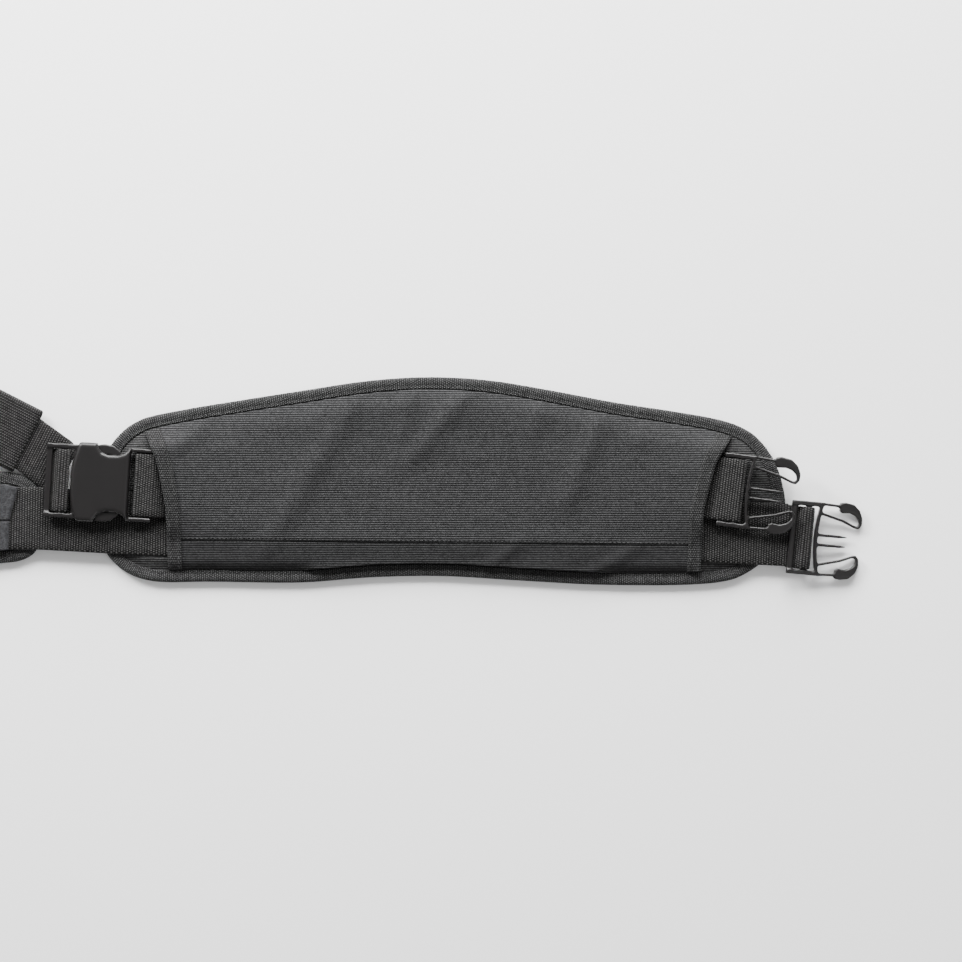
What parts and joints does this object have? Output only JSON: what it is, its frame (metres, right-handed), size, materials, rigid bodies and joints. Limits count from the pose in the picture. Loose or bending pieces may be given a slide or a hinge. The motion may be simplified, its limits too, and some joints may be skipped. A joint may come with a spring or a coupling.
{
  "type": "fishing fighting belt",
  "caption": "Padded fishing fighting belt laid flat: bound hip pad with ribbed sleeve, webbing straps, side-release buckles and a smaller front pad.",
  "frame": {"origin": "middle of the hip pad's flat underside, where the belt lies on a surface", "axes": "+X along the belt towards the open buckle halves, +Y the wearer's up, +Z out of the cover's face"},
  "size_m": [1.0356, 0.2014, 0.0223],
  "materials": {
    "cloth": "finely ribbed charcoal woven cloth",
    "edging": "charcoal grosgrain binding",
    "webbing": "dark charcoal ribbed webbing",
    "plastic": "moulded black plastic, fine matte grain"
  },
  "bodies": {
    "root": {"hip_pad": "cloth", "hip_binding": "edging", "hip_cover": "cloth", "hip_cover_band": "cloth", "hip_tape_left": "edging", "hip_tape_right": "edging", "belt_strap": "webbing", "upper_strap_left": "webbing", "upper_strap_right": "webbing", "male_loop": "webbing", "left_socket": "plastic", "left_male": "plastic", "upper_male": "plastic", "lower_male": "plastic", "yoke_strap": "webbing", "yoke_keeper": "webbing", "front_pad": "cloth", "front_binding": "edging", "front_cover": "cloth", "front_cover_band": "cloth", "far_strap": "webbing", "far_socket_upper": "plastic", "far_socket_lower": "plastic"}
  },
  "joints": []
}
